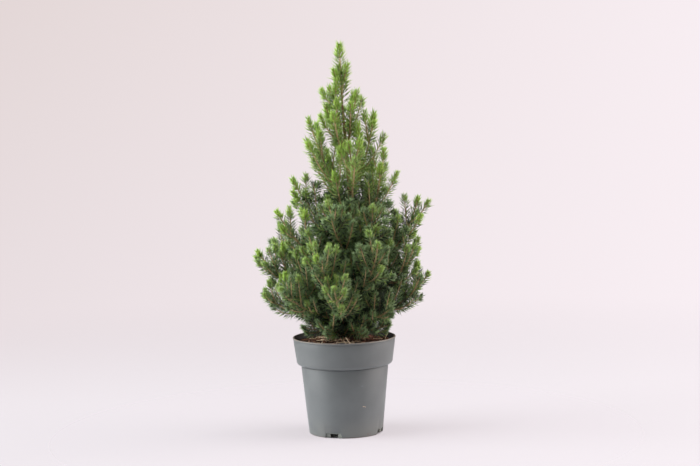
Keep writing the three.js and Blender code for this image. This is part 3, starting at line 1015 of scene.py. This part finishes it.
roomSpan = (240, 350)  # heights between which a finer twig's room grows from the first to the second
clearance = {"trunk": 2.5, "soil": 13}  # how far the outer half of any of them stays away
shoots = []  # every green shoot: its limb, where its wood and needles begin, its vigour and its kind
lines = [line for stem in stems for line in stem["lines"]]  # of everything that takes up room


def addShoot(limb, woodFrom, needlesFrom, vigour, kind):
    shoot = {"limb": limb, "woodFrom": woodFrom, "needlesFrom": needlesFrom}
    shoots.append({**shoot, "vigour": vigour, "kind": kind})


def placed(limb, room):
    # keeps a finer twig where its outer half has room of its own
    outer = linePoints(limb)[lineSteps // 2:]
    if (distances(outer, lines) < np.interp(limb.end[2], roomSpan, room)).any():
        return False
    if not clearOfPot(outer, clearance["soil"]) or not clearOfTrunk(outer, clearance["trunk"]):
        return False
    lines.append(linePoints(limb))
    return True


def growFrom(limb, first, angle, rule, seed, kind):
    grown, roll = [], dice(seed)
    for twig in twigsOf(limb, first, angle, rule, roll):
        if placed(twig, rule["room"]):
            grown.append(twig)
            addShoot(twig, 0, rule["needlesFrom"], roll(*rule["vigour"]), kind)
    return grown


def outOfCrown(point):
    # how far out a point lies, from 0 on the trunk to 1 at the crown's outside
    x, y, z = point
    rule, tip = crownRule, trunk["leaderTip"]
    centre = trunkPoint(min(z, tip))
    topTaper = (tip - z) / rule["taperHeight"] + rule["least"]
    footTaper = between((rule["footShare"], 1), max(progress(z, rule["foot"], rule["footHeight"]), 0))
    return hypot(x - centre[0], y - centre[1]) / (rule["radius"] * min(1, topTaper, footTaper))


def addInner(limb, starts, roll):
    rule = innerRule
    if outOfCrown(limb.end) < rule["within"] and placed(limb, rule["room"]):
        addShoot(limb, *starts, roll(*rule["vigour"]), "inner")


def growInner():
    rule = innerRule
    roll = dice(7000)
    for stem in stems:
        limb = stem["limb"]
        count = int(limb.length * rule["boughUntil"] / rule["boughSpacing"])
        for i in range(count):
            point, along, across, lift = limb.frame(rule["boughUntil"] * (i + roll(0, 1)) / count)
            turn = radians(goldenTurn(i, roll, rule["boughTurnSpread"]))
            spread = rule["boughAngleSpread"]
            angle = radians(rule["boughAngle"] + roll(-spread, spread))
            around = across * cos(turn) + lift * sin(turn)
            direction = along * cos(angle) + around * sin(angle)
            length = roll(*rule["boughLength"])
            addInner(liftedLimb(point, direction, length, rule["lift"]), rule["onBough"], roll)
    roll = dice(5000)
    heights = np.arange(rule["from"], rule["to"], rule["every"])
    for i, height in enumerate(heights):
        t = i / len(heights)
        out = outward(goldenTurn(i, roll, rule["turnSpread"]))
        angle = radians(between(rule["angle"], t))
        length = between(rule["length"], t) * roll(*rule["lengthSpread"])
        direction = out * sin(angle) + up * cos(angle)
        limb = liftedLimb(trunkPoint(height), direction, length, rule["lift"])
        addInner(limb, rule["onTrunk"], roll)


twigs = [twig for stem in stems for twig in stem["twigs"]]
vigourRoll = dice(50)
for stem in stems:
    kind = "leader" if stem["name"] == "leader" else "stem"
    first = stem["bare"] * stemRule["needlesFrom"]
    addShoot(stem["limb"], stem["bare"], first, vigourRoll(*stemRule["vigour"]), kind)
for twig in twigs:
    addShoot(twig, 0, twigRule["needlesFrom"], vigourRoll(*twigRule["vigour"]), "twig")
sides = []
for stem in stems:
    first, seed = stem["bare"] * stemRule["sidesFrom"], stem["seed"] + 100
    sides += growFrom(stem["limb"], first, stem["angle"], sideRule, seed, "side")
for i, parent in enumerate(twigs + sides):
    growFrom(parent, sprigRule["from"], sprigRule["angle"], sprigRule, i + 300, "sprig")
growInner()
total = sum(shoot["limb"].length * (1 - shoot["needlesFrom"]) for shoot in shoots) * mm
print("finer twigs grown:", len(shoots), "shoots of", round(total, 1), "m in all")


# the wood
barkRule = {
    "trunkSides": 22,
    "ringStep": 1.3,
    "relief": 0.32,
    "plates": (2.4, 2.4, 6.5),  # breadth of the bark's plates across and up
    "plateShare": 0.7,
    "scale": 0.9,  # breadth of the small scales
    "scaleShare": 0.35,
    "boughShare": 0.6,  # of the relief, on the boughs
    "boughSides": 12,
}


def extrudedLimb(centres, radii, sides):
    # a round bar, each ring extruded from the last, then moved, turned and resized
    bm = bmesh.new()
    ring = bmesh.ops.create_circle(bm, segments=sides, radius=mm)["verts"]
    edges = bm.edges[:]
    centre, heading, radius = Vector((0, 0, 0)), Vector((0, 0, 1)), 1.0
    for i, (place, along, grown) in enumerate(zip(centres, np.gradient(centres, axis=0), radii)):
        if i:
            made = bmesh.ops.extrude_edge_only(bm, edges=edges)["geom"]
            ring = [part for part in made if isinstance(part, bmesh.types.BMVert)]
            edges = [part for part in made if isinstance(part, bmesh.types.BMEdge)]
            edges = [edge for edge in edges if set(ring) >= set(edge.verts)]
        place, along = Vector(place) * mm, Vector(along).normalized()
        turn = heading.rotation_difference(along).to_matrix()
        bmesh.ops.translate(bm, verts=ring, vec=place - centre)
        bmesh.ops.rotate(bm, verts=ring, cent=place, matrix=turn)
        bmesh.ops.scale(bm, verts=ring, vec=(grown / radius,) * 3, space=Matrix.Translation(-place))
        centre, heading, radius = place, along, grown
    bmesh.ops.holes_fill(bm, edges=bm.edges[:], sides=0)
    return bm


def roughenBark(bm, relief):
    # lifts plates and small scales along each vertex's own normal
    bm.normal_update()
    a, b, c = barkRule["plates"]
    for vert in bm.verts:
        x, y, z = vert.co / mm
        plate = barkRule["plateShare"] * noise.noise(Vector((x / a, y / b, z / c)))
        scale = barkRule["scaleShare"] * noise.noise(Vector((x, y, z)) / barkRule["scale"])
        vert.co += vert.normal * (relief * (plate + scale)) * mm


def addBark(name, node, centres, radii, sides, relief):
    bm = extrudedLimb(centres, radii, sides)
    roughenBark(bm, relief)
    addPiece(name, smoothed(meshOf(bm, name), 180), bark, [node])


def makeTrunk():
    heights = np.arange(trunk["foot"], trunk["tip"] + 0.01, barkRule["ringStep"])
    line, radii = trunkPoint(heights), trunkRadius(heights)
    addBark("trunkBark", "trunk", line, radii, barkRule["trunkSides"], barkRule["relief"])


def makeBoughs():
    sides, relief = barkRule["boughSides"], barkRule["relief"] * barkRule["boughShare"]
    for stem in stems:
        if stem["bare"]:
            limb, name = stem["limb"], stem["name"]
            steps = max(6, round(limb.length * stem["bare"] / barkRule["ringStep"]))
            line = limb.frame(np.linspace(0, stem["bare"], steps))[0]
            radii = np.linspace(bough["radius"], bough["tipRadius"], steps)
            addBark("bark_" + name, "bough_" + name, line, radii, sides, relief)


woodRule = {
    "sides": 5,
    "step": 4,
    "radius": {"leader": 1.3, "stem": 1.65, "twig": 1.1, "side": 1.0, "sprig": 0.7, "inner": 0.6},
    "taper": 0.5,
}


def makeTwigWood(name, kinds):
    woods, radii = [], []
    for shoot in shoots:
        if shoot["kind"] in kinds:
            limb, first = shoot["limb"], shoot["woodFrom"]
            count = max(3, round(limb.length * (1 - first) / woodRule["step"]) + 1)
            woods.append(limb.frame(np.linspace(first, 1, count))[0])
            radius = woodRule["radius"][shoot["kind"]]
            radii.append(radius * np.linspace(1, woodRule["taper"], count))
    mesh = meshFromArrays(name, *tubes(woods, radii, woodRule["sides"]))
    addPiece(name, smoothed(mesh, 180), makeFinish(name), foliageNodes)


bark = makeFinish("bark")
foliageNodes = ["foliage_" + stem["name"] for stem in stems]
makeTrunk()
makeBoughs()
makeTwigWood("twigWood", ("leader", "stem", "twig", "side", "sprig"))
# the inner shoots' wood gets the darker painted-shade copy
makeTwigWood("innerWoodPaintedShade", ("inner",))
print("trunk, boughs and twigs made")


# the needles
needleRule = {
    "old": {  # the older needles stand apart round the shoot
        "perMillimetre": 2.1,
        "length": (9.4, 8.4),
        "angle": (62, 52),
        "spread": 0.9,
        "angleSpread": 8,
    },
    "new": {  # the new ones stand close in a blunt tuft at its tip
        "perMillimetre": 6.0,
        "length": (7.6, 5.4),
        "angle": (48, 30),
        "spread": 0.8,
        "angleSpread": 9,
    },
    "turnSpread": 9,
    "tuft": 7.6,  # length of the new part
    "shadedTuft": 0.6,  # how long it is without light, as a share
    "mostTuft": 0.7,  # of its shoot
    "up": (200, 220),  # where the crown's upper part starts and over what height it grows
    "higher": 0.40,  # how much longer all of these are at the crown's top
    "overlap": 0.8,
    "foot": 0.3,  # how far from the shoot's middle a needle starts
    "width": 0.6,
    "widest": 0.45,  # where a needle is widest, as a share of its length
    "forward": 0.06,  # how far its end bends forward and up
    "rise": 0.05,
    "inner": 1.3,  # how much wider the inner ones are
    "leader": 1.1,  # how much longer those of the leader are
    "shine": 0.3,
    "most": 32000,  # needles in one piece
    "least": 1.2,  # how far a needle stays from the soil
}
# the needles' age colours, shifted by light: painted light where it falls, painted shade inside the crown
ageAndPaintedLightRule = {
    "ragged": 4,  # how uneven the borders between the ages are
    "mature": (6, 36, 55),  # its length behind the tuft, and what light and height add
    "fresh": (42, 3.2, -1.2),  # its length in full light, and how that changes with height
    "innerMature": (40, 20),  # what height adds on an inner shoot, and the crown's outside
    "innerBright": (0.3, 0.1),
    "innerOutside": 0.62,
    "low": (110, 100),  # how high bright tips start, and over what height they grow
    "bright": (0.37, 0.76),  # a tip's brightness, and what height adds
    "upright": (0.5, 0.6),  # its share where the shoot is level, and what pointing up adds
    "young": 0.5,  # how bright a tip has to be to look young, or fresh
    "freshTip": 0.22,
    "paintedGlint": 0.16,  # share of the older needles drawn a kind younger and lighter, as painted glints
    "dull": 0.14,  # share of all needles that look a kind older
}
# needle colours by age and painted light; Deep is mostly painted shade
agesAndPaintedLight = ("Young", "Fresh", "Mature", "Deep")
needleFaces = np.array([(0, 2, 1), (0, 3, 2), (0, 1, 3), (1, 2, 4), (2, 3, 4), (3, 1, 4)])


def needlesAlong(limb, first, last, kind, grown, width, chance):
    # needles round a stretch of a limb, each of a foot, three corners where it is widest and a tip
    rule = needleRule
    count = max(6, int(limb.length * (last - first) * kind["perMillimetre"] / grown))
    t = (np.arange(count) + 0.5) / count
    point, along, across, lift = limb.frame(first + (last - first) * t)
    turn = np.arange(count) * goldenAngle + chance.normal(0, rule["turnSpread"], count)
    turn = np.radians(turn)[:, None]
    angle = between(kind["angle"], t) + chance.normal(0, kind["angleSpread"], count)
    angle = np.radians(angle)[:, None]
    length = between(kind["length"], t) + chance.normal(0, kind["spread"], count)
    length = length[:, None] * grown
    radial = across * np.cos(turn) + lift * np.sin(turn)
    side = lift * np.cos(turn) - across * np.sin(turn)
    direction = along * np.cos(angle) + radial * np.sin(angle)
    normal = np.cross(side, direction)
    foot = point + radial * rule["foot"]
    bent = (along * rule["forward"] + up * rule["rise"]) * length
    middle = foot + direction * length * rule["widest"] + bent * rule["widest"] ** 2
    corners = [foot]
    for degrees in (90, 210, 330):
        c, s = cos(radians(degrees)), sin(radians(degrees))
        corners.append(middle + (normal * c + side * s) * width)
    corners.append(foot + direction * length + bent)
    return np.stack(corners, 1), t


def lightOn(point):
    # how much light a point gets, from 0 in the crown's middle to 1 at its outside and top
    outside = progress(outOfCrown(point), *crownRule["lightOut"])
    return min(max(outside, progress(point[2], *crownRule["lightUp"]), 0), 1)


def agesAndPaintedLightOf(shoot, light, high, fromTuft):
    # the age colour of each old needle and of the shoot's tuft, chosen partly by light: painted light
    # where light falls and painted shade inside the crown
    limb, rule = shoot["limb"], ageAndPaintedLightRule
    # painted shade: old needles start deep, and nearness to the tuft, light, height and the crown's
    # outside lift them to younger colours
    oldAgeAndPaintedLight = np.full(len(fromTuft), 3)
    if shoot["kind"] == "inner":
        outer = outOfCrown(limb.end) > rule["innerOutside"]
        withHeight, atOutside = rule["innerMature"]
        oldAgeAndPaintedLight[fromTuft < withHeight * high + atOutside * outer] = 2
        withHeight, atOutside = rule["innerBright"]
        bright = withHeight * high + atOutside * outer
    else:
        least, withLight, withHeight = rule["mature"]
        oldAgeAndPaintedLight[fromTuft < least + withLight * light + withHeight * high] = 2
        inLight, withHeight, least = rule["fresh"]
        oldAgeAndPaintedLight[fromTuft < inLight * light * (withHeight * high + least)] = 1
        rise = unit(limb.end - limb.control)[2]
        low = min(1, progress(limb.end[2], *rule["low"]))
        bright = low * light * shoot["vigour"] ** 2
        for (least, more), amount in ((rule["bright"], high), (rule["upright"], rise)):
            bright *= least + more * amount
    tuftAgeAndPaintedLight = 0 if bright > rule["young"] else 1 if bright > rule["freshTip"] else 2 if bright else 3
    return oldAgeAndPaintedLight, tuftAgeAndPaintedLight


def needlesOf(shoot, chance):
    # the needles of a shoot, and the colour of each by age and painted light: 0 young, 1 fresh, 2 mature,
    # 3 deep, mostly painted shade
    limb, first, rule = shoot["limb"], shoot["needlesFrom"], needleRule
    light = lightOn(limb.end)
    high = min(max(progress(limb.end[2], *rule["up"]), 0), 1)
    grown = 1 + rule["higher"] * high
    tuft = rule["tuft"] * grown**2 * shoot["vigour"] * between((rule["shadedTuft"], 1), light)
    tuft = min(tuft, limb.length * rule["mostTuft"])
    width = rule["width"] * (rule["inner"] if shoot["kind"] == "inner" else 1)
    last = 1 - tuft * rule["overlap"] / limb.length
    old, t = needlesAlong(limb, first, last, rule["old"], grown, width, chance)
    new, _ = needlesAlong(limb, 1 - tuft / limb.length, 1, rule["new"], grown, width, chance)
    fromTuft = (1 - t) * limb.length * (last - first) + chance.normal(0, ageAndPaintedLightRule["ragged"], len(t))
    oldAgeAndPaintedLight, tuftAgeAndPaintedLight = agesAndPaintedLightOf(shoot, light, high, fromTuft)
    # painted glints: a share of the older needles takes the next lighter colour
    paintedGlint = chance.random(len(t)) < ageAndPaintedLightRule["paintedGlint"]
    oldAgeAndPaintedLight[paintedGlint] = np.maximum(oldAgeAndPaintedLight[paintedGlint] - 1, 1)
    needles = np.concatenate([old, new])
    ageAndPaintedLight = np.concatenate([oldAgeAndPaintedLight, np.full(len(new), tuftAgeAndPaintedLight)])
    ageAndPaintedLight[chance.random(len(ageAndPaintedLight)) < ageAndPaintedLightRule["dull"]] += 1
    if shoot["kind"] == "leader":
        needles = needles[:, :1] + (needles - needles[:, :1]) * rule["leader"]
    return needles, np.minimum(ageAndPaintedLight, 3)


def makeNeedles():
    chance = np.random.default_rng(23)
    needles, kinds = [], []
    for shoot in shoots:
        made, ageAndPaintedLight = needlesOf(shoot, chance)
        tips = made[:, -1]
        bed = np.array([soilHeight(hypot(x, y)) for x, y in tips[:, :2]])
        kept = tips[:, 2] > bed + needleRule["least"]
        needles.append(made[kept])
        kinds.append(ageAndPaintedLight[kept])
    needles, kinds = np.concatenate(needles), np.concatenate(kinds)
    for i, ageAndPaintedLight in enumerate(agesAndPaintedLight):
        finish = makeFinish("needle" + ageAndPaintedLight)
        surface = finish.node_tree.nodes["Principled BSDF"]
        surface.inputs["Specular IOR Level"].default_value = needleRule["shine"]
        chosen = needles[kinds == i]
        parts = max(1, ceil(len(chosen) / needleRule["most"]))
        for part, some in enumerate(np.array_split(chosen, parts)):
            faces = needleFaces + 5 * np.arange(len(some))[:, None, None]
            name = f"needles{ageAndPaintedLight}_{part + 1}"
            addPiece(name, meshFromArrays(name, some, faces), finish, foliageNodes)
        print(ageAndPaintedLight, "needles:", len(chosen))


makeNeedles()
print("needles made")
